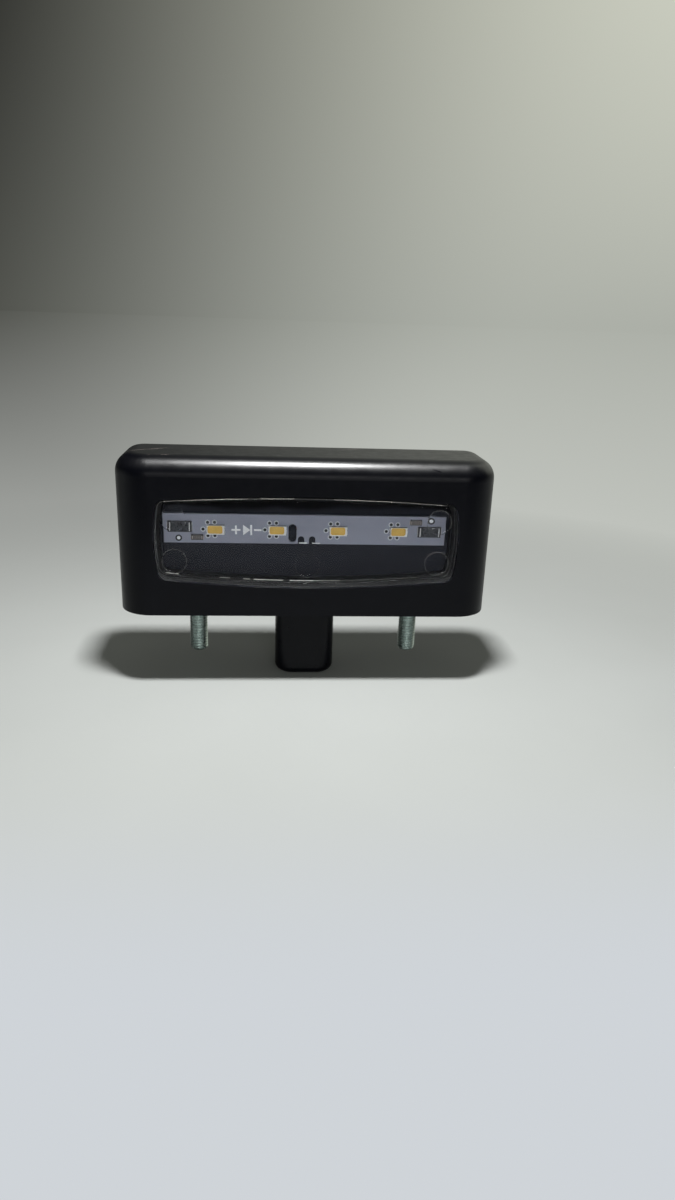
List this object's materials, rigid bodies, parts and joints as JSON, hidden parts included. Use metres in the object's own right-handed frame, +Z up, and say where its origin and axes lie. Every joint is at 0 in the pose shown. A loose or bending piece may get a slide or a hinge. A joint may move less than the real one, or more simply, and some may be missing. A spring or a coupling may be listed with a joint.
{
  "type": "number plate lamp",
  "caption": "Black number plate lamp with a clear bowed lens over a circuit board with light sources, threaded studs and a connector post.",
  "frame": {"origin": "middle of the end face of the connector post, on which the lamp stands", "axes": "+Z up, from the post to the top of the housing; -Y is the way the window faces; +X runs along the housing"},
  "size_m": [0.1004, 0.026, 0.0622],
  "materials": {
    "housing_black": "satin",
    "base_black": "satin",
    "lens_clear": "polished clear plastic",
    "seal_rubber": "matte",
    "adhesive": "black bead",
    "tray_grey": "fine grain",
    "board_white": "white solder mask",
    "led_package": "yellow phosphor in a white package",
    "chip_dark": "glazed, with tinned ends",
    "chip_brown": "glazed, with tinned ends",
    "rectifier_black": "moulded",
    "stud_zinc": "bright zinc plate",
    "contact_tin": "tinned",
    "lead_red": "insulation",
    "lead_black": "insulation",
    "resin": "cast resin"
  },
  "bodies": {
    "root": {"housing": "housing_black", "base": "base_black", "base_seal": "seal_rubber", "lens": "lens_clear", "lens_seal": "adhesive", "tray": "tray_grey", "circuit_board": "board_white", "led_1": "led_package", "led_2": "led_package", "led_3": "led_package", "led_4": "led_package", "resistor_left": "chip_dark", "resistor_right": "chip_dark", "small_resistor_left": "chip_brown", "small_resistor_right": "chip_brown", "rectifier": "rectifier_black", "stud_left": "stud_zinc", "stud_right": "stud_zinc", "contact_left": "contact_tin", "contact_right": "contact_tin", "lead_left": "lead_red", "lead_right": "lead_black", "potting": "resin"}
  },
  "joints": []
}
